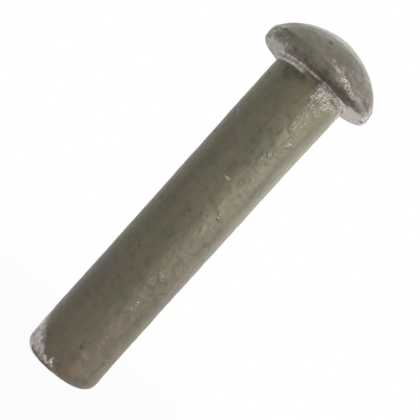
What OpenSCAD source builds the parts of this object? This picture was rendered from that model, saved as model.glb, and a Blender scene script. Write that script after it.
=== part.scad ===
// Round head rivet, hot forged from round bar.
// The origin is the middle of the bearing face under the head, +Z points out through the dome,
// and the shank hangs down along -Z to its sheared tail end.

/* [Shank] */
// Length of the shank, from the bearing face to the tail end
shank_len = 75; // [50:1:150]
// Diameter of the bar, which the shank keeps towards its tail
bar_d = 15.9; // [10:0.1:20]
// Extra diameter of the neck, where the hot bar swelled into the die
neck_swell = 0.55; // [0.1:0.05:1.5]
// Distance below the bearing face at which the neck has run down to the bar
neck_len = 40; // [10:1:45]
// Radius that the shear rolled onto the edge of the tail end
tail_edge_r = 2.6; // [0.4:0.1:4]

/* [Collar] */
// Height of the collar that the mouth of the die left round the neck
collar_h = 1.5; // [0.8:0.1:4]
// Step from the neck out to the collar
collar_step = 0.1; // [0.05:0.05:0.3]
// Length of the slope that carries the step
collar_slope = 0.3; // [0.1:0.1:0.6]
// Fillet between the collar and the bearing face
seat_fillet_r = 0.35; // [0.1:0.05:0.5]

/* [Head] */
// Height of the head above its bearing face
head_h = 9.9; // [7:0.1:13]
// Largest diameter of the head, round the middle of its rim
rim_d = 25.9; // [24:0.1:40]
// Height of the rim's widest ring above the bearing face
rim_h = 1.6; // [1:0.1:2.4]
// Radius of the barrel-shaped bulge that the rim has in section
rim_bulge_r = 6; // [3:0.1:12]
// Height of the shoulder, where the dome meets the rim
shoulder_h = 3.2; // [2.6:0.1:4]
// Rounding of the shoulder
shoulder_r = 0.9; // [0.1:0.05:1.2]
// Rounding of the rim where it turns into the bearing face
seat_edge_r = 0.9; // [0.3:0.1:1.4]

/* [Hidden] */
$fn = 240;

steel = [0.42, 0.40, 0.33];

// A rounding is this much larger than drawn, and the core rises this far past the dome that trims it,
// so that surfaces cross where they meet and leave no sliver.
overreach = 0.0002;

bar_r = bar_d / 2;
neck_r = bar_r + neck_swell / 2;
collar_r = neck_r + collar_step;
rim_r = rim_d / 2;

// Middle of the bulge's arc in the half section, whose points are [radius, height].
bulge_c = [rim_r - rim_bulge_r, rim_h];

// The bulge's arc passes the shoulder at this radius.
shoulder_at = bulge_c[0] + sqrt(pow(rim_bulge_r, 2) - pow(shoulder_h - rim_h, 2));

// The dome is the sphere on the axis that passes through its top and the shoulder.
dome_rise = head_h - shoulder_h;
dome_r = (pow(shoulder_at, 2) + pow(dome_rise, 2)) / (2 * dome_rise);
dome_c = [0, head_h - dome_r];

// Each rounding is a circle that touches both of its neighbours from inside.
shoulder_c = meeting(dome_c, dome_r - shoulder_r, bulge_c, rim_bulge_r - shoulder_r);
seat_edge_c = [
    bulge_c[0] + sqrt(pow(rim_bulge_r - seat_edge_r, 2) - pow(rim_h - seat_edge_r, 2)),
    seat_edge_r
];
tail_edge_c = [bar_r - tail_edge_r, tail_edge_r - shank_len];

// The fillet is hollow, so its circle lies outside the metal.
fillet_c = [collar_r + seat_fillet_r, -seat_fillet_r];

// Direction from point a to point b, in degrees above the radius.
function bearing(a, b) = atan2(b[1] - a[1], b[0] - a[0]);

// Point at distance d from c in the direction angle.
function along(c, d, angle) = c + d * [cos(angle), sin(angle)];

// Where two circles cross, on the side that lies to the right on the way from the first to the second.
function meeting(c1, r1, c2, r2) =
    let (d = norm(c2 - c1), a = acos((r1 * r1 + d * d - r2 * r2) / (2 * r1 * d)))
    along(c1, r1, bearing(c1, c2) - a);

// What a rounding takes off a corner: the wedge between the two touching points, less the circle.
module corner(c, r, from, to) {
    reach = 2 * r;
    half = (to - from) / 2;
    difference() {
        polygon([
            c,
            along(c, reach, from),
            along(c, reach / cos(half), from + half),
            along(c, reach, to)
        ]);
        translate(c) circle(r + overreach);
    }
}

// Half section of the rim: a core under the dome, with the barrel-shaped bulge round it.
module rim_section() {
    square([bulge_c[0], head_h + overreach]);
    translate([0, rim_h]) square([shoulder_at, dome_rise]);
    intersection() {
        translate(bulge_c) circle(rim_bulge_r);
        square([rim_r, shoulder_h]);
    }
}

// Half section of the head, with its shoulder and its lower edge rounded.
module head_section() {
    difference() {
        intersection() {
            rim_section();
            translate(dome_c) circle(dome_r);
        }
        corner(shoulder_c, shoulder_r, bearing(bulge_c, shoulder_c), bearing(dome_c, shoulder_c));
        corner(seat_edge_c, seat_edge_r, -90, bearing(bulge_c, seat_edge_c));
    }
}

// Half section of the shank: a root inside the head, the hollow fillet under the head, the collar,
// the tapering neck, the straight bar and the rolled tail edge.
module shank_section() {
    difference() {
        polygon([
            [0, rim_h],
            [fillet_c[0], rim_h],
            fillet_c,
            [collar_r, -seat_fillet_r],
            [collar_r, collar_slope - collar_h],
            [neck_r, -collar_h],
            [bar_r, -neck_len],
            [bar_r, -shank_len],
            [0, -shank_len]
        ]);
        translate(fillet_c) circle(seat_fillet_r);
        corner(tail_edge_c, tail_edge_r, -90, 0);
    }
}

// The rivet is one forging: a turned head and a turned shank that share the axis and run into each other.
module rivet() {
    color(steel) {
        rotate_extrude() head_section();
        rotate_extrude() shank_section();
    }
}

rivet();
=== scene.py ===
import math
import random

import bmesh
import bpy
from mathutils import Matrix, Vector, kdtree, noise


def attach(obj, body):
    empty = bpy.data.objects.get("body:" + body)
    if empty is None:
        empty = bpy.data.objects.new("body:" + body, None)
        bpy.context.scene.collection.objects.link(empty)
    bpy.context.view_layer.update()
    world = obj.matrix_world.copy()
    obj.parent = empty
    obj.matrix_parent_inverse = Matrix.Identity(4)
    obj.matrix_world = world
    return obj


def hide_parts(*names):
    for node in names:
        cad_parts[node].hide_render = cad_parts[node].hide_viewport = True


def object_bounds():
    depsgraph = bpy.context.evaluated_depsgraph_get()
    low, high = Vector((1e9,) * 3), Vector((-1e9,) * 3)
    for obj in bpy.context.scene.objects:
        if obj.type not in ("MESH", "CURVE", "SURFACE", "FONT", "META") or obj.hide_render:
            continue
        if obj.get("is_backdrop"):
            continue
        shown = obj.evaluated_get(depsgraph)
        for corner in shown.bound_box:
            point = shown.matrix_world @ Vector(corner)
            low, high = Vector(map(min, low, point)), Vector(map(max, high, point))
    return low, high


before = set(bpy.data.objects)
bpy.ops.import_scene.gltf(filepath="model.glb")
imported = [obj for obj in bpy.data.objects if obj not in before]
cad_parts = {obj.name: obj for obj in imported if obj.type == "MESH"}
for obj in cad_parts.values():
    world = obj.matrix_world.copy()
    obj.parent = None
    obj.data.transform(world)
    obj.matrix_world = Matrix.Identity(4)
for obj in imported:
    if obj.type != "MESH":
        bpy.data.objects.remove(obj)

cadLow, cadHigh = (tuple(corner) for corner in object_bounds())
mm = 0.001
bpy.context.scene.view_settings.view_transform = "Standard"


def tint(red, green, blue):
    # a colour as a screen shows it, 0 to 255, as the light values that shaders use
    def channel(value):
        value /= 255
        return value / 12.92 if value <= 0.04045 else ((value + 0.055) / 1.055) ** 2.4
    return (channel(red), channel(green), channel(blue), 1.0)


def smooth(low, high, value):
    # 0 below low, 1 above high, and an even S curve between them
    share = min(max((value - low) / (high - low), 0.0), 1.0)
    return share * share * (3 - 2 * share)


def bandShare(band, value):
    # 1 between the middle two values of a band, fading to 0 at the outer two
    bottom, rising, falling, top = band
    return smooth(bottom, rising, value) * smooth(top, falling, value)


def eased(least, share):
    # runs from a least value up to 1 as the share does from 0
    return least + (1 - least) * share


class Wire:
    # wraps a socket of a shader tree, so that sums and products of wires make Math nodes
    def __init__(self, tree, socket=None):
        self.tree = tree
        self.socket = socket

    def node(self, kind, settings=None, inputs=None, out=0):
        made = self.tree.nodes.new(kind)
        for name, value in (settings or {}).items():
            setattr(made, name, value)
        for name, value in (inputs or {}).items():
            if isinstance(value, Wire):
                self.tree.links.new(value.socket, made.inputs[name])
            else:
                made.inputs[name].default_value = value
        return Wire(self.tree, made.outputs[out] if len(made.outputs) else None)

    def math(self, operation, first, second=0.0):
        return self.node("ShaderNodeMath", {"operation": operation}, {0: first, 1: second})

    def __add__(self, other):
        return self.math("ADD", self, other)

    def __radd__(self, other):
        return self.math("ADD", other, self)

    def __sub__(self, other):
        return self.math("SUBTRACT", self, other)

    def __rsub__(self, other):
        return self.math("SUBTRACT", other, self)

    def __mul__(self, other):
        return self.math("MULTIPLY", self, other)

    def __rmul__(self, other):
        return self.math("MULTIPLY", other, self)

    def between(self, low, high):
        # 0 where the wire is at low, 1 where it is at high
        return self.node(
            "ShaderNodeMapRange",
            {"interpolation_type": "SMOOTHSTEP"},
            {"Value": self, "From Min": low, "From Max": high},
        )

    def blend(self, first, second):
        # the wire is the share of the second colour
        return self.node("ShaderNodeMix", {"data_type": "RGBA"}, {0: self, 6: first, 7: second}, out=2)


# places in millimetres from the middle of the bearing face
cameraView = {
    "distance": 200.0,
    "height": -35.0,
    "aim": (1.845, 0.0, -31.98),
    "rollDeg": 41.97,
    "lens": 88.1,
    "clipStart": 0.01,  # metres
}


def setCamera(view):
    data = bpy.data.cameras.new("camera")
    data.lens = view["lens"]
    data.clip_start = view["clipStart"]
    camera = bpy.data.objects.new("camera", data)
    bpy.context.scene.collection.objects.link(camera)
    camera.location = Vector((0.0, -view["distance"], view["height"])) * mm
    look = (Vector(view["aim"]) * mm - camera.location).to_track_quat("-Z", "Y").to_matrix()
    camera.rotation_euler = (look @ Matrix.Rotation(math.radians(view["rollDeg"]), 3, "Z")).to_euler()
    bpy.context.scene.camera = camera


setCamera(cameraView)
print("camera set")

# the sizes of the forging, in millimetres, and how finely its skin is meshed
rivetSizes = {
    "shankLength": 75.0,
    "barRadius": 7.95,
    "neckRadius": 8.225,
    "neckLength": 40.0,
    "tailEdgeRadius": 2.6,
    "collarRadius": 8.325,
    "collarHeight": 1.5,
    "collarSlope": 0.3,
    "filletRadius": 0.35,
    "headHeight": 9.9,
    "rimRadius": 12.95,
    "rimHeight": 1.6,
    "rimBulge": 6.0,
    "shoulderHeight": 3.2,
    "shoulderRadius": 0.9,
    "seatEdgeRadius": 0.9,
    "filletReach": 8.8,  # a radius that takes in the whole hollow of the fillet
    "rowSpacing": 0.27,
    "seatEdgeRows": 0.7,  # spacing at some places, as shares of the row spacing
    "seatRows": 1.3,
    "filletRows": 0.5,
    "footRows": 1.6,
    "turnSteps": 248,
    "sealGap": 0.0005,  # points closer than this are one point
}


def bearing(start, goal):
    return math.atan2(goal[1] - start[1], goal[0] - start[0])


def along(start, distance, angle):
    return (start[0] + distance * math.cos(angle), start[1] + distance * math.sin(angle))


def meeting(first, firstRadius, second, secondRadius):
    # where two circles cross, to the right of the way from the first to the second
    span = math.dist(first, second)
    turn = math.acos((firstRadius**2 + span**2 - secondRadius**2) / (2 * firstRadius * span))
    return along(first, firstRadius, bearing(first, second) - turn)


def arcTo(bm, tip, centre, sweep, spacing):
    # swings the outline's tip round a centre and leaves an arc behind it
    reach = math.dist((tip.co.x, tip.co.z), centre)
    made = bmesh.ops.spin(
        bm,
        geom=[tip],
        cent=(centre[0], 0.0, centre[1]),
        axis=(0.0, 1.0, 0.0),
        angle=sweep,
        steps=max(3, round(reach * abs(sweep) / spacing)),
        use_duplicate=False,
    )
    return next(item for item in made["geom_last"] if isinstance(item, bmesh.types.BMVert))


def lineTo(bm, tip, goal, spacing):
    # extrudes the outline's tip to a point in even steps
    start = tip.co.copy()
    end = Vector((goal[0], 0.0, goal[1]))
    steps = max(1, round((end - start).length / spacing))
    for step in range(steps):
        tip = bmesh.ops.extrude_vert_indiv(bm, verts=[tip])["verts"][0]
        tip.co = start.lerp(end, (step + 1) / steps)
    return tip


def drawOutline(bm, sizes):
    # half of the rivet's section, from the top of the dome down to the middle of the foot
    spacing = sizes["rowSpacing"]
    bulge = (sizes["rimRadius"] - sizes["rimBulge"], sizes["rimHeight"])
    rise = sizes["headHeight"] - sizes["shoulderHeight"]
    shoulderAt = bulge[0] + math.sqrt(sizes["rimBulge"] ** 2 - (sizes["shoulderHeight"] - bulge[1]) ** 2)
    domeRadius = (shoulderAt**2 + rise**2) / (2 * rise)
    dome = (0.0, sizes["headHeight"] - domeRadius)
    shoulder = meeting(
        dome, domeRadius - sizes["shoulderRadius"], bulge, sizes["rimBulge"] - sizes["shoulderRadius"]
    )
    seatDrop = sizes["rimHeight"] - sizes["seatEdgeRadius"]
    seatReach = sizes["rimBulge"] - sizes["seatEdgeRadius"]
    seatEdge = (bulge[0] + math.sqrt(seatReach**2 - seatDrop**2), sizes["seatEdgeRadius"])
    fillet = (sizes["collarRadius"] + sizes["filletRadius"], -sizes["filletRadius"])
    tailEdge = (
        sizes["barRadius"] - sizes["tailEdgeRadius"],
        sizes["tailEdgeRadius"] - sizes["shankLength"],
    )

    tip = bm.verts.new((0.0, 0.0, sizes["headHeight"]))
    tip = arcTo(bm, tip, dome, math.pi / 2 - bearing(dome, shoulder), spacing)
    tip = arcTo(bm, tip, shoulder, bearing(dome, shoulder) - bearing(bulge, shoulder), spacing)
    tip = arcTo(bm, tip, bulge, bearing(bulge, shoulder) - bearing(bulge, seatEdge), spacing)
    edgeSweep = bearing(bulge, seatEdge) + math.pi / 2
    tip = arcTo(bm, tip, seatEdge, edgeSweep, spacing * sizes["seatEdgeRows"])
    tip = lineTo(bm, tip, (fillet[0], 0.0), spacing * sizes["seatRows"])
    tip = arcTo(bm, tip, fillet, -math.pi / 2, spacing * sizes["filletRows"])
    tip = lineTo(bm, tip, (sizes["collarRadius"], sizes["collarSlope"] - sizes["collarHeight"]), spacing)
    tip = lineTo(bm, tip, (sizes["neckRadius"], -sizes["collarHeight"]), spacing * sizes["filletRows"])
    tip = lineTo(bm, tip, (sizes["barRadius"], -sizes["neckLength"]), spacing)
    tip = lineTo(bm, tip, (sizes["barRadius"], tailEdge[1]), spacing)
    tip = arcTo(bm, tip, tailEdge, math.pi / 2, spacing)
    lineTo(bm, tip, (0.0, -sizes["shankLength"]), spacing * sizes["footRows"])


# how forging and shearing bent the plain form, in millimetres; a band holds the heights at which a bend
# starts, is full, begins to fade and has faded
rivetForging = {
    "skinGrowth": 0.015,  # the scale stands this proud of the clean form
    "growthFade": 3.0,  # radius within which nothing grows, so that the poles stay smooth
    "barrel": 0.045,  # swelling at the middle of the shank
    "barrelEnds": (-62.0, -14.0),
    "domeFullness": 0.13,  # swelling of the ring half way up the dome
    "domeBand": (3.0, 6.0, 7.2, 9.4),
    "shoulderDrop": (0.21, 0.30),  # how much lower the shoulder lies all round, and further in front
    "dropStarts": (0.3, 2.6),
    "frontEnds": (8.0, 3.2),  # the front's share has gone at the first height and is whole at the second
    "crownShare": 0.25,  # how much of the drop is left at the top of the dome
    "crownEnds": (9.95, 9.0),
    "headLean": 0.09,  # the head and neck were upset this far towards +X
    "leanBand": (-16.0, -4.0, 1.2, 2.8),
    "rimDroop": (0.10, 0.12),  # the rim hangs below the seat all round, and further at +X
    "droopRing": (10.8, 12.6),
    "droopEnds": (1.6, 0.4),
    "pressedSide": (0.2, -0.5),  # the die pressed from -X: shares of X where that starts and is full
    "collarLip": 0.045,  # on that side the collar stands prouder and the neck starts leaner by this much
    "lipBand": (-1.62, -1.42, -1.3, 0.0),
    "lipAway": -0.7,  # share of the lip on the other side
    "leanNeckBand": (-2.4, -1.8, -1.62, -1.50),
    "leanNeckAway": -0.5,
    "collarFlare": 0.11,  # the collar widens this much towards the seat
    "flareAway": 0.2,
    "flareEnds": (-1.3, -0.2),
    "shearSlope": 0.047,
    "shearPivot": -5.2,
    "shearDrag": 0.11,  # the shear pulled the foot this far towards +X
    "shearReach": 7.0,  # how far up the shank it is felt
    "shearEase": 0.7,  # share of that reach over which it grows
    "waves": (0.035, 8.0),  # height and length of the slow waves
    "ripples": (0.028, 2.6),
    "drawLines": (0.010, 0.9, 16.0),  # height, width and length of the lines along the bar
    "plates": (0.026, 1.5),  # height and size of the plates of scale
    "plateEdge": (0.02, 0.16),  # values of the noise between which a plate's edge rises
    "plateShift": (7.0, 3.0, 1.0),  # keeps the plates' noise apart from that of the waves
    "grain": (0.012, 0.55),
    "footFade": (-74.9, -74.4),  # heights over which the skin dies out, so that the foot stays flat
}


def bendForm(bm, sizes, forging):
    # moves whole regions a little, as the dies and the shear did
    shearTop = forging["shearReach"] - sizes["shankLength"]
    shearFull = shearTop - forging["shearReach"] * forging["shearEase"]
    dropAround, dropFront = forging["shoulderDrop"]
    droopAround, droopSide = forging["rimDroop"]
    flareFoot, flareTop = forging["flareEnds"]
    for vert in bm.verts:
        place = vert.co
        radius = math.hypot(place.x, place.y)
        if radius < sizes["sealGap"]:
            continue  # on the axis
        outward = Vector((place.x / radius, place.y / radius, 0.0))
        pressed = smooth(*forging["pressedSide"], outward.x)

        growth = forging["skinGrowth"]
        growth += forging["barrel"] * math.sin(math.pi * smooth(*forging["barrelEnds"], place.z)) ** 2
        growth += forging["domeFullness"] * bandShare(forging["domeBand"], place.z)
        lip = eased(forging["lipAway"], pressed) * bandShare(forging["lipBand"], place.z)
        lip -= eased(forging["leanNeckAway"], pressed) * bandShare(forging["leanNeckBand"], place.z)
        growth += forging["collarLip"] * lip
        if radius < sizes["filletReach"] and flareFoot < place.z < sizes["filletRadius"]:
            flare = min((place.z - flareFoot) / (flareTop - flareFoot), 1.0)
            growth += forging["collarFlare"] * eased(forging["flareAway"], pressed) * flare

        tail = smooth(shearTop, shearFull, place.z)
        rise = tail * forging["shearSlope"] * max(place.x - forging["shearPivot"], 0.0)
        front = max(-outward.y, 0.0) ** 2 * smooth(*forging["frontEnds"], place.z)
        crown = eased(forging["crownShare"], smooth(*forging["crownEnds"], place.z))
        rise -= (dropAround + dropFront * front) * smooth(*forging["dropStarts"], place.z) * crown
        edge = smooth(*forging["droopRing"], radius) * smooth(*forging["droopEnds"], place.z)
        rise -= (droopAround + droopSide * max(outward.x, 0.0)) * edge

        lean = forging["headLean"] * bandShare(forging["leanBand"], place.z)
        place += outward * growth * smooth(0.0, forging["growthFade"], radius)
        place.x += lean + tail * forging["shearDrag"]
        place.z += rise


def addSkin(bm, forging):
    # the uneven skin that scale, dies and drawing leave
    bm.normal_update()
    waves, ripples, drawLines, plates, grain = (
        forging[name] for name in ("waves", "ripples", "drawLines", "plates", "grain")
    )
    shifts = []
    for vert in bm.verts:
        place = vert.co
        rise = waves[0] * noise.noise(place / waves[1]) + ripples[0] * noise.noise(place / ripples[1])
        flake = noise.noise(place / plates[1] + Vector(forging["plateShift"]))
        rise += plates[0] * (smooth(*forging["plateEdge"], flake) - 0.5)  # as much down as up
        rise += grain[0] * noise.noise(place / grain[1])
        if place.z < 0.0:
            stretched = Vector((place.x / drawLines[1], place.y / drawLines[1], place.z / drawLines[2]))
            rise += drawLines[0] * noise.noise(stretched)
        shifts.append(vert.normal * rise * smooth(*forging["footFade"], place.z))
    for vert, shift in zip(bm.verts, shifts):
        vert.co += shift


# marks of use; places are degrees round the axis from -Y towards +X, and millimetres up from the seat
rivetMarks = {
    # place and depth of flats
    "flats": [
        (46.0, 6.6, 0.07),
        (-26.0, 6.2, 0.06),
        (64.0, 4.6, 0.06),
        (12.0, 5.4, 0.05),
        (-55.0, 4.6, 0.07),
        (-5.0, 8.3, 0.04),
        (-40.0, 3.6, 0.04),
        (33.0, 0.9, 0.05),
        (-16.0, 0.9, 0.05),
        (100.0, 5.0, 0.06),
        (150.0, 4.0, 0.08),
        (205.0, 6.0, 0.07),
        (250.0, 3.8, 0.06),
        (9.0, -16.5, 0.040),
        (38.0, -20.5, 0.035),
        (17.0, -24.0, 0.045),
        (27.0, -28.5, 0.050),
        (12.0, -33.0, 0.045),
        (34.0, -38.5, 0.045),
        (16.0, -43.0, 0.050),
        (29.0, -50.5, 0.045),
        (11.0, -57.0, 0.050),
        (33.0, -61.0, 0.045),
        (19.0, -66.0, 0.045),
        (-20.0, -30.0, 0.040),
        (-18.0, -49.0, 0.050),
        (-26.0, -62.0, 0.040),
    ],
    # place, radius and depth of dark pits
    "pits": [
        (-13.5, 6.0, 0.42, 0.15),
        (-3.9, 7.7, 0.24, 0.06),
        (23.8, 5.1, 0.24, 0.05),
        (-14.4, -1.8, 0.34, 0.12),
        (-17.0, -1.6, 0.24, 0.08),
        (-53.2, -1.3, 0.24, 0.10),
        (-44.0, -1.45, 0.20, 0.08),
        (-36.0, -1.5, 0.22, 0.10),
        (-30.0, 0.5, 0.30, 0.08),
        (74.5, 0.1, 0.50, 0.18),
        (78.0, 0.05, 0.42, 0.18),
        (88.0, 0.7, 0.22, 0.08),
        (-78.0, 0.5, 0.22, 0.08),
        (-84.0, 1.5, 0.20, 0.07),
        (-72.0, 0.2, 0.24, 0.08),
        (-66.0, 2.0, 0.22, 0.08),
        (-70.0, 2.9, 0.20, 0.06),
        (-57.0, 2.3, 0.20, 0.06),
        (57.0, 2.1, 0.20, 0.06),
        (-23.4, -29.9, 0.24, 0.06),
        (-7.5, -34.6, 0.30, 0.10),
        (8.1, -32.6, 0.22, 0.08),
        (-28.2, -45.9, 0.26, 0.08),
        (44.8, -50.0, 0.28, 0.09),
        (9.6, -50.9, 0.26, 0.08),
        (41.9, -55.6, 0.26, 0.07),
        (17.0, -47.2, 0.24, 0.06),
        (7.3, -67.4, 0.45, 0.07),
        (-1.4, -72.4, 0.28, 0.12),
    ],
    # place, radius and depth of bright dents
    "dents": [
        (-43.7, -19.6, 0.24, 0.05),
        (-36.6, -2.7, 0.22, 0.05),
        (28.2, -32.2, 0.34, 0.06),
        (31.0, -32.0, 0.20, 0.05),
        (24.0, -36.2, 0.26, 0.05),
        (-54.0, -35.6, 0.28, 0.05),
        (-13.8, -38.6, 0.20, 0.04),
        (9.6, -40.4, 0.30, 0.04),
        (24.5, -54.0, 0.30, 0.06),
        (23.0, -55.6, 0.24, 0.05),
        (38.0, -13.2, 0.22, 0.05),
        (34.1, -13.5, 0.34, 0.06),
        (-26.0, 6.3, 0.26, 0.05),
    ],
    # both ends, width and depth of bright scores
    "scores": [
        ((-6.5, -25.5), (7.5, -25.6), 0.15, 0.046),
        ((-64.0, -13.6), (-50.0, -15.6), 0.26, 0.040),
        ((15.0, -46.9), (30.0, -47.4), 0.20, 0.036),
        ((17.5, -47.2), (13.0, -51.2), 0.17, 0.034),
        ((24.0, -46.9), (27.0, -48.4), 0.14, 0.022),
        ((-12.3, -72.4), (-6.5, -74.1), 0.24, 0.080),
        ((-30.0, -73.2), (-14.0, -73.9), 0.22, 0.050),
        ((-24.5, -38.0), (-20.0, -39.2), 0.14, 0.018),
        ((-13.0, -1.8), (-12.0, -6.0), 0.14, 0.014),
    ],
    # both ends, width and depth of dark folds
    "folds": [
        ((-72.0, 1.7), (-62.0, 2.5), 0.38, 0.150),
        ((-64.0, 2.4), (-50.0, 2.5), 0.36, 0.130),
        ((-52.0, 2.5), (-38.0, 2.1), 0.34, 0.080),
        ((-68.0, 0.9), (-54.0, 1.4), 0.32, 0.110),
        ((47.0, 2.2), (58.0, 2.0), 0.34, 0.120),
        ((56.0, 2.0), (69.0, 1.8), 0.32, 0.130),
        ((-34.0, 0.2), (-16.0, 0.9), 0.20, 0.038),
        ((-62.0, 0.7), (-46.0, 1.2), 0.18, 0.032),
        ((-58.0, -1.45), (-16.0, -1.55), 0.16, 0.050),
        ((40.0, -73.5), (56.0, -73.4), 0.22, 0.045),
        # these two also paint shade along the foot's lower edge, where the rounded edge faces the floor
        ((-52.0, -73.9), (-31.0, -74.15), 0.30, 0.10),
        ((-31.0, -74.15), (2.0, -74.65), 0.36, 0.12),
        ((8.0, -74.7), (36.0, -74.3), 0.30, 0.060),
        ((44.0, -74.0), (62.0, -73.4), 0.30, 0.060),
    ],
    # unplanned marks, on the sides that the named ones leave free
    "strays": {
        "seed": 11,
        "pits": 30,
        "dents": 7,
        "scores": 8,
        "radius": (0.18, 0.42),
        "steepness": (0.08, 0.26),  # depth as a share of the radius
        "spotAngles": (62, 298),
        "spotHeights": (-73.0, 8.0),
        "scoreAngles": (70, 290),
        "scoreHeights": (-70.0, -5.0),
        "scoreTurn": 12,
        "scoreRun": 4.0,
        "scoreWidth": 0.18,
        "scoreDepth": 0.03,
    },
    "flatReach": (1.3, 2.6),  # a flat is whole out to the first distance and gone at the second
    "flatShare": 0.9,  # how much of what stands over a flat is taken off
    "markFloor": (0.3, 1.2),  # where a mark's floor ends, as shares of its radius
    "markLip": (0.9, 1.2, 1.2, 1.6),  # where its raised lip starts, is full and has ended
    "lipHeight": 0.18,  # share of its depth
    "darkDepth": 0.10,  # a pit or fold this deep is fully dark
    "brightDepth": 0.08,
}


def surfacePoint(outline, angle, height):
    radius = min(outline, key=lambda point: (abs(point[1] - height), -point[0]))[0]
    turn = math.radians(angle)
    return Vector((radius * math.sin(turn), -radius * math.cos(turn), height))


def strayMarks(strays):
    chance = random.Random(strays["seed"])
    scattered = {"pits": [], "dents": [], "scores": []}
    for kind in ("pits", "dents"):
        for _ in range(strays[kind]):
            radius = chance.uniform(*strays["radius"])
            place = (chance.uniform(*strays["spotAngles"]), chance.uniform(*strays["spotHeights"]))
            scattered[kind].append((*place, radius, radius * chance.uniform(*strays["steepness"])))
    turn, run = strays["scoreTurn"], strays["scoreRun"]
    for _ in range(strays["scores"]):
        angle, height = chance.uniform(*strays["scoreAngles"]), chance.uniform(*strays["scoreHeights"])
        end = (angle + chance.uniform(-turn, turn), height + chance.uniform(-run, run))
        scattered["scores"].append(((angle, height), end, strays["scoreWidth"], strays["scoreDepth"]))
    return scattered


# how a fold, score or stroke is laid down as a row of touches
touchRow = {
    "apart": 0.5,  # share of a touch's width
    "fewest": 4,
    "endShare": 0.1,  # a row starts and ends this far into an arch of strength
    "strength": 0.7,
    "waver": 0.4,  # how much the strength wanders along the row
    "waverSeed": 2.0,
}


def touchesAlong(outline, start, end, width, depth):
    length = (surfacePoint(outline, *end) - surfacePoint(outline, *start)).length
    steps = max(touchRow["fewest"], int(length / (width * touchRow["apart"])))
    touches = []
    for step in range(steps + 1):
        share = step / steps
        angle = start[0] + (end[0] - start[0]) * share
        height = start[1] + (end[1] - start[1]) * share
        wander = noise.noise(Vector((angle, height, touchRow["waverSeed"])))
        arch = math.sin(math.pi * (touchRow["endShare"] + (1 - 2 * touchRow["endShare"]) * share))
        ease = arch * (touchRow["strength"] + touchRow["waver"] * wander)
        touches.append((surfacePoint(outline, angle, height + wander * width), width, depth * ease))
    return touches


def plantTree(bm):
    bm.verts.ensure_lookup_table()
    bm.normal_update()
    tree = kdtree.KDTree(len(bm.verts))
    for vert in bm.verts:
        tree.insert(vert.co, vert.index)
    tree.balance()
    return tree


def pressFlats(bm, tree, outline, marks):
    # takes off what stands over a plane that lies a little below the skin
    core, reach = marks["flatReach"]
    for angle, height, depth in marks["flats"]:
        centre, index, _ = tree.find(surfacePoint(outline, angle, height))
        facing = bm.verts[index].normal.copy()
        for _, index, gap in tree.find_range(centre, reach):
            over = (bm.verts[index].co - centre).dot(facing) + depth
            if over > 0:
                bm.verts[index].co -= facing * over * marks["flatShare"] * smooth(reach, core, gap)


def pressMarks(bm, tree, outline, marks):
    # sinks pits, folds, dents and scores into the skin, and notes how dark or bare each point is
    soot = bm.verts.layers.float.new("soot")
    bare = bm.verts.layers.float.new("bare")
    strays = strayMarks(marks["strays"])
    dark = [(surfacePoint(outline, *pit[:2]), *pit[2:]) for pit in marks["pits"] + strays["pits"]]
    bright = [(surfacePoint(outline, *dent[:2]), *dent[2:]) for dent in marks["dents"] + strays["dents"]]
    for fold in marks["folds"]:
        dark += touchesAlong(outline, *fold)
    for score in marks["scores"] + strays["scores"]:
        bright += touchesAlong(outline, *score)

    pressed = {}
    for touches, layer, full in ((dark, soot, marks["darkDepth"]), (bright, bare, marks["brightDepth"])):
        for centre, size, depth in touches:
            nearest = tree.find(centre)[0]
            for _, index, gap in tree.find_range(nearest, size * marks["markLip"][-1]):
                floor = 1 - smooth(*marks["markFloor"], gap / size)
                push = depth * (floor - marks["lipHeight"] * bandShare(marks["markLip"], gap / size))
                if abs(push) > abs(pressed.get(index, 0.0)):
                    pressed[index] = push
                shown = floor * min(depth / full, 1.0)
                bm.verts[index][layer] = max(bm.verts[index][layer], shown)
    for index, push in pressed.items():
        bm.verts[index].co -= bm.verts[index].normal * push


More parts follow.
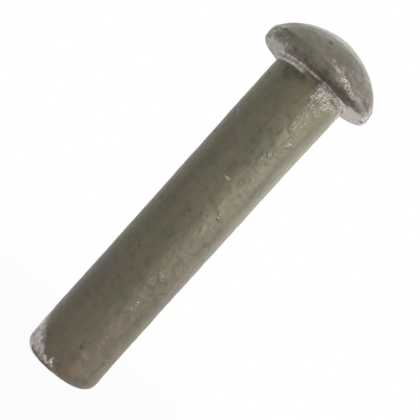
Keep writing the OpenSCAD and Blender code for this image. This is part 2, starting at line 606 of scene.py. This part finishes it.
# where the finish differs: the way a stroke runs, in degrees and height, then its reach and strength
rivetWear = {
    "polishAndGlint": [
        # polish, with painted glints, where the side lamp's highlight falls under the head and down the
        # shank at +X
        ([(12, -0.8), (30, -0.9), (60, -0.9)], 1.3, 0.95),  # under the head
        ([(15, -2.4), (34, -2.6), (50, -2.0)], 1.8, 0.85),
        ([(19, -4.6), (36, -4.4)], 1.8, 0.50),
        ([(21, -7.0), (31, -8.0)], 1.5, 0.30),
        ([(18, -8.6), (20, -10.4)], 1.2, 0.50),
        ([(29, -5.0), (31, -14.5)], 0.8, 0.42),
        ([(29, -14.5), (27, -18.5)], 0.7, 0.30),
        ([(28, -19.5), (30, -23.5)], 0.6, 0.28),
        ([(17, -18.2), (19, -19.4), (24, -17.2)], 0.8, 0.50),
        ([(36, -12.6), (34, -13.6)], 0.6, 1.0),
        ([(26, -31.6), (31, -32.2)], 0.5, 0.60),
        ([(22, -35.4), (25, -37.0)], 0.7, 0.30),
        ([(20, -47.0), (28, -48.0)], 0.8, 0.24),
        ([(22, -53.0), (26, -56.0)], 0.8, 0.24),
        ([(28, -60.0), (24, -64.0)], 1.0, 0.20),
        # along the shoulder, where polish paints the glints of its highlight
        ([(-2, 3.0), (6, 2.9), (14, 2.5), (22, 2.1), (31, 1.6), (42, 1.3)], 1.25, 0.52),
        ([(24, 1.1), (38, 0.8)], 0.9, 0.66),
        ([(0, 3.2), (20, 3.3), (45, 3.4)], 0.9, 0.30),
        ([(46, 2.0), (68, 2.6)], 1.0, 0.30),
        ([(-42, 5.6), (-22, 6.5)], 1.1, 0.34),
        ([(38, 6.9), (50, 6.4)], 1.6, 0.45),
        # painted glints on the collar at +X
        ([(10, -0.9), (24, -1.1)], 0.9, 1.0),
        ([(-66, 1.4), (-58, 2.6)], 2.2, 0.5),
        ([(-30, -73.6), (-14, -74.0)], 0.8, 0.7),
        ([(-84, -67.0), (-72, -69.5), (-58, -70.5)], 0.9, 0.7),
        ([(-13, -72.4), (-6, -73.8)], 0.6, 0.9),
        ([(146, -22.0), (152, -38.0)], 1.6, 0.26),
        ([(196, -3.0), (200, -12.0)], 2.2, 0.20),
        ([(100, 2.4), (135, 2.1)], 2.0, 0.46),
        ([(180, 2.4), (215, 2.1)], 2.2, 0.36),
        ([(150, -0.9), (180, -0.9)], 1.4, 0.8),
    ],
    "bare": [
        # bare steel under the head at +X, also painted lighter as a highlight where the side lamp falls
        ([(12, -0.7), (28, -0.7), (44, -0.7)], 1.2, 0.66),
        ([(44, -0.7), (62, -0.6)], 1.1, 0.48),
        ([(12, -1.7), (30, -1.5)], 1.3, 0.56),
        ([(16, -3.4), (30, -3.2)], 1.2, 0.26),
        # painted highlight along the shoulder and the land under it, and painted light on the dome's
        # side at +X
        ([(-6, 3.1), (7, 3.0)], 0.8, 0.40),
        ([(7, 2.85), (14, 2.7), (22, 2.4)], 1.0, 0.42),
        ([(22, 2.1), (31, 1.3), (40, 1.0)], 0.9, 0.32),
        ([(14, 1.0), (38, 0.8)], 1.0, 0.34),
        ([(50, 3.1), (68, 2.9)], 0.8, 0.40),
        ([(14, 3.6), (30, 4.1), (46, 4.6)], 1.9, 0.30),
        ([(58, -1.0), (74, -1.6), (78, -3.4)], 1.2, 0.52),
        ([(-36, 0.9), (-24, 0.6)], 1.2, 0.20),
        ([(-60, 0.2), (-48, 0.4), (-40, 0.4)], 1.0, 0.42),
        ([(52, 0.1), (66, 0.3)], 0.7, 0.30),
        ([(-29, -72.9), (-14, -73.6)], 0.9, 0.60),
        ([(-12, -72.6), (-6, -73.8)], 0.7, 0.72),
        ([(-68, 1.4), (-60, 2.6)], 2.4, 0.46),
        # painted light on the rim's lit end at +X
        ([(64, 2.6), (70, 1.6)], 2.6, 0.44),
        ([(243, -58.0), (238, -66.0)], 2.6, 0.26),
        ([(236, 2.3), (272, 2.1)], 2.4, 0.24),
        ([(205, -0.7), (268, -0.7)], 1.3, 0.64),
        ([(100, -73.5), (190, -74.2)], 1.2, 0.50),
    ],
    "soot": [
        # darker below the collar at -X, and in front just under the seat
        ([(-40, -2.7), (-14, -2.5)], 1.7, 0.42),
        ([(-5, -0.7), (4, -0.8)], 1.2, 0.28),
        # painted shade in front under the head: on the seat's edge, at the foot of the land and where
        # the neck meets the head
        ([(-34, 0.1), (4, 0.15)], 0.8, 0.50),
        ([(2, 0.3), (42, 0.25)], 1.1, 0.78),
        ([(6, -0.05), (38, -0.05)], 0.42, 0.50),
        # painted shade along the foot's edge, where it faces the floor
        ([(-50, -74.0), (-34, -74.35), (-18, -74.6), (2, -74.8)], 0.9, 1.0),
        # painted shade: faint darker bands down the shank's -X side, away from the lamps
        ([(-46, -24.0), (-46, -70.0)], 2.9, 0.10),
        ([(-40, -6.0), (-40, -22.0)], 2.6, 0.07),
        # faint darker bands down the back
        ([(160, -10.0), (164, -60.0)], 3.2, 0.10),
        ([(262, -14.0), (258, -50.0)], 2.8, 0.10),
    ],
    "rust": [
        ([(11, -72.0), (17, -72.4)], 1.8, 0.36),
        ([(-8, -34.8), (-7, -35.6)], 1.2, 0.22),
        ([(0, -52.2), (0, -53.2)], 0.9, 0.26),
        ([(24, -37.6), (25, -39.0)], 0.8, 0.24),
        ([(38, -7.0), (42, -12.0)], 2.0, 0.16),
        ([(40, -73.5), (48, -73.3)], 0.8, 0.34),
        ([(-27, -37.4), (-25, -39.0)], 0.9, 0.20),
        ([(28, -54.0), (28, -57.0)], 1.3, 0.20),
        ([(138, -49.0), (144, -53.0)], 1.4, 0.5),
        ([(225, -31.0), (225, -35.0)], 1.2, 0.5),
        ([(186, -67.0), (194, -70.0)], 1.6, 0.6),
    ],
    "strokeCore": 0.15,  # share of its reach over which a stroke has its full strength
    "strokeLimit": 1.3,  # share of its reach that its ragged edge never passes
    "raggedness": (0.4, 0.8),  # how much that edge wavers, and over what length
    # the bearing face; the bareness holds at -X, at +X and in front, and the front at +X gets painted
    # shade, as the head's underside is in shade there
    "seat": {
        "heights": (-0.4, 0.9),
        "innerRadius": 8.3,
        "bareness": (0.46, 0.86, 0.3),
        "across": (-6.0, 6.0),  # X over which the first bareness gives way to the second
        "frontShares": (0.45, 0.80),  # how squarely a point has to face -Y to count as in front
        "frontRing": (8.6, 8.85),
        "frontAcross": (4.0, -4.0),  # the front is bare at -X and has painted shade at +X
        "sootAcross": (-4.0, 2.0),
        "sootiness": 0.45,
        "edgeFade": (0.5, 0.1),
    },
    # the bare band on the collar: where it starts and ends, in degrees, and how gently
    "collar": {
        "start": -84,
        "end": 10,
        "startFade": 4,
        "endFade": 42,
        "waver": 6,
        "foot": -1.42,
        "footFade": 0.1,
        "strength": 0.72,
    },
    # the bare corner of the tail, whose edge climbs from its foot with the square of X
    "sheared": {
        "heightLimit": -60.0,  # all of it lies below this height
        "sideLimit": 1.0,  # and on the -X side of this place
        "foot": -73.7,
        "rise": 0.125,
        "waver": (0.7, 1.3),  # height and length of the edge's unevenness
        "fade": (1.5, -2.6),
        "strength": 0.68,
    },
    "bareChips": (0.028, 1.1),  # height and length of the roughness of bare places
    "polishChips": (0.036, 0.5),
}


def seatFinish(place, radius, seat):
    # how bare a point of the bearing face is, and how much painted shade it gets
    bareLeft, bareRight, bareFront = seat["bareness"]
    forward = smooth(*seat["frontShares"], -place.y / radius) * smooth(*seat["frontRing"], radius)
    bareness = bareLeft + (bareRight - bareLeft) * smooth(*seat["across"], place.x)
    bareness += (bareFront * smooth(*seat["frontAcross"], place.x) - bareness) * forward
    sootiness = seat["sootiness"] * forward * smooth(*seat["sootAcross"], place.x)
    return bareness * smooth(*seat["edgeFade"], place.z), sootiness


def collarBareness(place, collar):
    angle = math.degrees(math.atan2(place.x, -place.y)) + collar["waver"] * noise.noise(place)
    starts = smooth(collar["start"] - collar["startFade"], collar["start"] + collar["startFade"], angle)
    ends = smooth(collar["end"], collar["end"] - collar["endFade"], angle)
    foot, fade = collar["foot"], collar["footFade"]
    return collar["strength"] * starts * ends * smooth(foot - fade, foot + fade, place.z)


def shearedBareness(place, sheared):
    height, length = sheared["waver"]
    edge = sheared["foot"] + sheared["rise"] * place.x**2 + height * noise.noise(place / length)
    return sheared["strength"] * smooth(*sheared["fade"], place.z - edge)


def paintStrokes(bm, tree, outline, wear):
    waver, waverLength = wear["raggedness"]
    for name in ("polishAndGlint", "bare", "soot", "rust"):
        layer = bm.verts.layers.float.get(name) or bm.verts.layers.float.new(name)
        for way, reach, strength in wear[name]:
            for start, end in zip(way, way[1:]):
                for touch in touchesAlong(outline, start, end, reach, 1.0):
                    centre = tree.find(touch[0])[0]
                    for spot, index, gap in tree.find_range(centre, reach * wear["strokeLimit"]):
                        ragged = 1 + waver * noise.noise(spot / waverLength)
                        amount = strength * smooth(ragged, ragged * wear["strokeCore"], gap / reach)
                        bm.verts[index][layer] = max(bm.verts[index][layer], amount)


def paintWear(bm, sizes, wear):
    bare, polishAndGlint, soot = (bm.verts.layers.float[name] for name in ("bare", "polishAndGlint", "soot"))
    seat, collar, sheared = (wear[name] for name in ("seat", "collar", "sheared"))
    seatFoot, seatTop = seat["heights"]
    for vert in bm.verts:
        place = vert.co
        radius = math.hypot(place.x, place.y)
        bareness = 0.0
        if seatFoot < place.z < seatTop and radius > seat["innerRadius"]:
            bareness, sootiness = seatFinish(place, radius, seat)
            vert[soot] = max(vert[soot], sootiness)
        if collar["foot"] - 2 * collar["footFade"] < place.z < 0.0 and radius < sizes["filletReach"]:
            bareness = max(bareness, collarBareness(place, collar))
        if place.z < sheared["heightLimit"] and place.x < sheared["sideLimit"]:
            bareness = shearedBareness(place, sheared)
        vert[bare] = max(vert[bare], bareness)

    bm.normal_update()
    for vert in bm.verts:
        chips = 0.0
        for layer, (height, length) in ((bare, wear["bareChips"]), (polishAndGlint, wear["polishChips"])):
            chips += noise.noise(vert.co / length) * height * vert[layer]
        vert.co += vert.normal * chips


def makeRivet(sizes, forging, marks, wear):
    bm = bmesh.new()
    drawOutline(bm, sizes)
    outline = [(vert.co.x, vert.co.z) for vert in bm.verts]
    bmesh.ops.spin(
        bm,
        geom=bm.verts[:] + bm.edges[:],
        cent=(0.0, 0.0, 0.0),
        axis=(0.0, 0.0, 1.0),
        angle=2 * math.pi,
        steps=sizes["turnSteps"],
        use_merge=True,
    )
    bmesh.ops.remove_doubles(bm, verts=bm.verts[:], dist=sizes["sealGap"])
    bmesh.ops.recalc_face_normals(bm, faces=bm.faces[:])
    bendForm(bm, sizes, forging)
    addSkin(bm, forging)
    tree = plantTree(bm)
    pressFlats(bm, tree, outline, marks)
    pressMarks(bm, tree, outline, marks)
    paintStrokes(bm, tree, outline, wear)
    paintWear(bm, sizes, wear)
    bmesh.ops.scale(bm, verts=bm.verts[:], vec=(mm, mm, mm))
    mesh = bpy.data.meshes.new("roundHeadRivet")
    bm.to_mesh(mesh)
    bm.free()
    for face in mesh.polygons:
        face.use_smooth = True
    piece = bpy.data.objects.new("roundHeadRivet", mesh)
    bpy.context.scene.collection.objects.link(piece)
    return piece


rivet = makeRivet(rivetSizes, rivetForging, rivetMarks, rivetWear)
print("rivet made,", len(rivet.data.polygons), "faces")

steelLook = {
    "olive": tint(115, 110, 86),
    "brown": tint(109, 99, 81),
    "green": tint(100, 106, 84),
    "rose": tint(122, 109, 98),
    "grey": tint(128, 121, 110),
    "mauve": tint(132, 122, 118),
    "dark": tint(70, 65, 54),
    # steel colours, for bare steel and for painted highlights; glint is a lighter colour of polished
    # specks, painted as glints
    "bareSteelAndHighlight": tint(164, 153, 146),
    "glint": tint(158, 153, 141),
    "brightSteelAndHighlight": tint(214, 205, 200),
    # dome: painted lighter than the land, as light from above falls on it
    "dome": tint(147, 141, 121),
    # soot in pits and folds, also used for painted shade
    "soot": tint(36, 32, 27),
    "rust": tint(126, 84, 54),
    # heights in metres over which each part of the rivet begins
    "zones": {
        "low": (-0.010, -0.064),
        "head": (-0.002, 0.001),
        "dome": (0.0021, 0.0032),
        "crown": (0.0045, 0.0075),
        "top": (0.006, 0.009),
    },
    # noise: cells to the metre, detail, roughness, and how far it is stretched along the bar
    "clouds": {
        "tone": (90.0, 2.0, 0.5, 1.0),
        "mauve": (130.0, 3.0, 0.5, 1.0),
        "green": (170.0, 3.0, 0.5, 2.2),
        "rose": (210.0, 3.0, 0.5, 2.0),
        "plates": (260.0, 2.0, 0.5, 3.0),
        "rust": (520.0, 3.0, 0.6, 1.0),
        "blotches": (650.0, 3.0, 0.6, 1.0),
        "lines": (900.0, 2.0, 0.5, 14.0),
        "grain": (1800.0, 3.0, 0.6, 1.0),
        "speckle": (3300.0, 2.0, 0.6, 1.0),
    },
    # how brown the scale is: shares of the lower bar and of clouds, and the noise at which those
    # start and are full
    "brownLow": 0.8,
    "brownClouds": 0.2,
    "brownRange": (0.40, 0.62),
    "headGrey": 0.6,
    # how much the dome is painted lighter, as light from above would make it
    "paintedDomeLight": 0.42,
    # patches of colour: the noise they start and are full at, their strength, and its gain low on the
    # bar and on the head
    "patches": {
        "mauve": (0.50, 0.60, 0.0, 0.0, 0.36),
        "green": (0.52, 0.62, 0.6, -0.2, -0.35),
        "rose": (0.54, 0.62, 0.55, 0.0, 0.0),
    },
    # darker places: the noise they start and are full at, and their strength
    "shades": {
        "plates": (0.46, 0.52, 0.14),
        "blotches": (0.50, 0.32, 0.32),
        "lines": (0.52, 0.34, 0.12),
    },
    "rustRange": (0.66, 0.76),
    "rustLow": 0.5,  # strength of the rust that noise puts on the lower bar
    "rustPainted": 0.6,
    # scale breaks up to bare steel, and bare steel brightens, where noise, wear and painted highlight
    # add up
    "wornMix": {"speckle": 0.25, "grain": 0.35, "blotches": 0.40},
    "wearAndHighlightGain": 0.55,  # what painted wear and painted highlight add
    "wornRange": (0.58, 0.98),
    "brightRange": (0.36, 0.68),
    "glintMix": {"speckle": 0.5, "grain": 0.5},
    "glintGain": 0.35,  # what polish, and the glints painted with it, add
    "glintRange": (0.60, 0.90),
    "sootAndShadePainted": 0.8,
    "gritRange": (0.46, 0.34),  # dark grit stays in worn places where the speckle is this low
    "gritBare": 0.09,
    "gritPolish": 0.225,
    # height of the bump, and how much of its fine part there is
    "bumpDepth": 0.00016,
    "reliefMix": {"grain": 0.6, "speckle": 0.7},
    "scaleRelief": 0.30,
    "bareRelief": 0.3,
    "polishRelief": 2.0,
    "topRelief": -0.18,
    "blotchRelief": 0.4,
    "scaleMetallic": 0.30,
    "bareMetallic": 0.70,
    "scaleRoughness": 0.40,
    "bareRoughness": 0.36,
    "polishRoughness": 0.20,
    "roughnessSpread": 0.2,
    "sootAndShadeRoughness": 0.2,  # how much rougher soot and painted shade are
    "crownPolish": 0.14,  # how much smoother the upper dome is
}


def makeScaledSteel(look):
    material = bpy.data.materials.new("scaledSteel")
    material.use_nodes = True
    material.node_tree.nodes.clear()
    shader = Wire(material.node_tree)
    place = shader.node("ShaderNodeTexCoord", out="Object")
    height = shader.node("ShaderNodeSeparateXYZ", inputs={0: place}, out="Z")
    zones = {name: height.between(*limits) for name, limits in look["zones"].items()}
    low, head = zones["low"], zones["head"]

    clouds = {}
    for name, (cells, detail, rough, stretch) in look["clouds"].items():
        amounts = (cells, cells, cells / stretch)
        scaled = shader.node("ShaderNodeVectorMath", {"operation": "MULTIPLY"}, {0: place, 1: amounts})
        clouds[name] = shader.node(
            "ShaderNodeTexNoise",
            inputs={"Vector": scaled, "Scale": 1.0, "Detail": detail, "Roughness": rough},
        )

    def mixed(weights):
        return sum(clouds[name] * weight for name, weight in weights.items())

    bare, polishAndGlint, soot, rust = (
        shader.node("ShaderNodeAttribute", {"attribute_name": name}, out="Fac")
        for name in ("bare", "polishAndGlint", "soot", "rust")
    )

    brown = low * look["brownLow"] + clouds["tone"].between(*look["brownRange"]) * look["brownClouds"]
    colour = brown.blend(look["olive"], look["brown"])
    colour = (head * look["headGrey"]).blend(colour, look["grey"])
    # painted light: the dome lighter than the land
    colour = (zones["dome"] * look["paintedDomeLight"]).blend(colour, look["dome"])
    for name, (start, full, strength, gainLow, gainHead) in look["patches"].items():
        patch = clouds[name].between(start, full) * (low * gainLow + head * gainHead + strength)
        colour = patch.blend(colour, look[name])
    shade = sum(
        clouds[name].between(start, full) * strength
        for name, (start, full, strength) in look["shades"].items()
    )
    colour = shade.blend(colour, look["dark"])
    rusty = clouds["rust"].between(*look["rustRange"]) * low * look["rustLow"]
    rusty = rusty + rust * look["rustPainted"]
    colour = rusty.blend(colour, look["rust"])

    # painted glints: polished specks turn lighter
    glinting = (mixed(look["glintMix"]) + polishAndGlint * look["glintGain"]).between(*look["glintRange"])
    colour = glinting.blend(colour, look["glint"])
    wornMix = mixed(look["wornMix"])
    # bare steel where wear shows, and painted highlight where the bare strokes stand in for it
    wornAndHighlit = (wornMix + bare * look["wearAndHighlightGain"]).between(*look["wornRange"])
    steelAndHighlightColour = wornMix.between(*look["brightRange"]).blend(look["bareSteelAndHighlight"], look["brightSteelAndHighlight"])
    colour = wornAndHighlit.blend(colour, steelAndHighlightColour)
    grit = bare * look["gritBare"] + polishAndGlint * look["gritPolish"]
    # soot, dark grit and painted shade
    sootAndShadeShare = soot * look["sootAndShadePainted"] + grit * clouds["speckle"].between(*look["gritRange"])
    colour = sootAndShadeShare.blend(colour, look["soot"])

    fine = polishAndGlint * look["polishRelief"] + bare * look["bareRelief"] + look["scaleRelief"]
    fine = fine + zones["top"] * look["topRelief"]
    relief = mixed(look["reliefMix"]) * fine + clouds["blotches"] * (bare + 1) * look["blotchRelief"]
    bump = shader.node(
        "ShaderNodeBump", inputs={"Strength": 1.0, "Distance": look["bumpDepth"], "Height": relief}
    )

    steelShare = (wornAndHighlit + glinting).between(0.0, 1.0)
    metallic = steelShare * (look["bareMetallic"] - look["scaleMetallic"]) + look["scaleMetallic"]
    roughness = look["scaleRoughness"] + (clouds["blotches"] - 0.5) * look["roughnessSpread"]
    roughness = roughness + sootAndShadeShare * look["sootAndShadeRoughness"]
    roughness = roughness + wornAndHighlit * (look["bareRoughness"] - look["scaleRoughness"])
    roughness = roughness + polishAndGlint * (look["polishRoughness"] - look["scaleRoughness"])
    roughness = roughness - zones["crown"] * look["crownPolish"]
    surface = shader.node(
        "ShaderNodeBsdfPrincipled",
        inputs={"Base Color": colour, "Metallic": metallic, "Roughness": roughness, "Normal": bump},
    )
    shader.node("ShaderNodeOutputMaterial", inputs={"Surface": surface})
    return material


rivet.data.materials.append(makeScaledSteel(steelLook))
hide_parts("rivet")
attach(rivet, "root")
print("finish applied")

studio = {
    "shadeLevel": 0.35,  # what the white room gives to surfaces that scatter light
    "floorHeight": cadLow[2],
    "floorSize": 3.0,
    "floorCells": 8,
    "floorGlow": 0.95,  # share of plain white in the floor beside the rivet
    "glowReach": (0.03, 0.15),  # distances from the axis over which it becomes all white
    "floorTint": tint(240, 240, 240),
    "white": tint(255, 255, 255),
    "lamps": {
        "sideLamp": {"place": (0.46, -0.29, 0.13), "size": (0.55, 0.34), "power": 1.98},
        "fillLamp": {"place": (0.44, 0.28, 0.02), "size": (0.50, 0.24), "power": 0.52},
        "backLamp": {"place": (0.03, 0.42, 0.34), "size": (0.36, 0.26), "power": 0.10},
    },
    "lampAim": (0.0, 0.0, -0.03),
}


def seenDirectly(shader):
    # 1 for rays that look, 0 for rays that carry scattered light
    path = shader.node("ShaderNodeLightPath").socket.node
    camera, glossy, through = (
        Wire(shader.tree, path.outputs[name])
        for name in ("Is Camera Ray", "Is Glossy Ray", "Is Transmission Ray")
    )
    return shader.math("MAXIMUM", shader.math("MAXIMUM", camera, glossy), through)


def lightWorld(room):
    world = bpy.data.worlds.new("studio")
    bpy.context.scene.world = world
    world.use_nodes = True
    world.node_tree.nodes.clear()
    shader = Wire(world.node_tree)
    strength = seenDirectly(shader) * (1 - room["shadeLevel"]) + room["shadeLevel"]
    backdrop = {"Color": room["white"], "Strength": strength}
    background = shader.node("ShaderNodeBackground", inputs=backdrop)
    shader.node("ShaderNodeOutputWorld", inputs={"Surface": background})


def layFloor(room):
    bm = bmesh.new()
    cells = room["floorCells"]
    bmesh.ops.create_grid(bm, x_segments=cells, y_segments=cells, size=room["floorSize"] / 2)
    bmesh.ops.translate(bm, verts=bm.verts[:], vec=(0.0, 0.0, room["floorHeight"]))
    mesh = bpy.data.meshes.new("floor")
    bm.to_mesh(mesh)
    bm.free()
    floor = bpy.data.objects.new("floor", mesh)
    bpy.context.scene.collection.objects.link(floor)

    material = bpy.data.materials.new("paleFloor")
    material.use_nodes = True
    material.node_tree.nodes.clear()
    shader = Wire(material.node_tree)
    place = shader.node("ShaderNodeTexCoord", out="Object")
    flat = {0: place, 1: (1.0, 1.0, 0.0)}
    level = shader.node("ShaderNodeVectorMath", {"operation": "MULTIPLY"}, flat)
    fromAxis = shader.node("ShaderNodeVectorMath", {"operation": "LENGTH"}, {0: level}, out="Value")
    glow = fromAxis.between(*room["glowReach"]) * (1 - room["floorGlow"]) + room["floorGlow"]
    lit = shader.node("ShaderNodeBsdfDiffuse", inputs={"Color": room["floorTint"]})
    plain = shader.node("ShaderNodeEmission", inputs={"Color": room["white"], "Strength": 1.0})
    mixed = shader.node("ShaderNodeMixShader", inputs={0: seenDirectly(shader) * glow, 1: lit, 2: plain})
    shader.node("ShaderNodeOutputMaterial", inputs={"Surface": mixed})
    floor.data.materials.append(material)
    floor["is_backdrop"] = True


def hangLamps(room):
    for name, lamp in room["lamps"].items():
        data = bpy.data.lights.new(name, "AREA")
        data.shape = "RECTANGLE"
        data.size, data.size_y = lamp["size"]
        data.energy = lamp["power"]
        light = bpy.data.objects.new(name, data)
        bpy.context.scene.collection.objects.link(light)
        light.location = lamp["place"]
        aim = Vector(room["lampAim"]) - light.location
        light.rotation_euler = aim.to_track_quat("-Z", "Y").to_euler()


lightWorld(studio)
layFloor(studio)
hangLamps(studio)
print("studio lit")
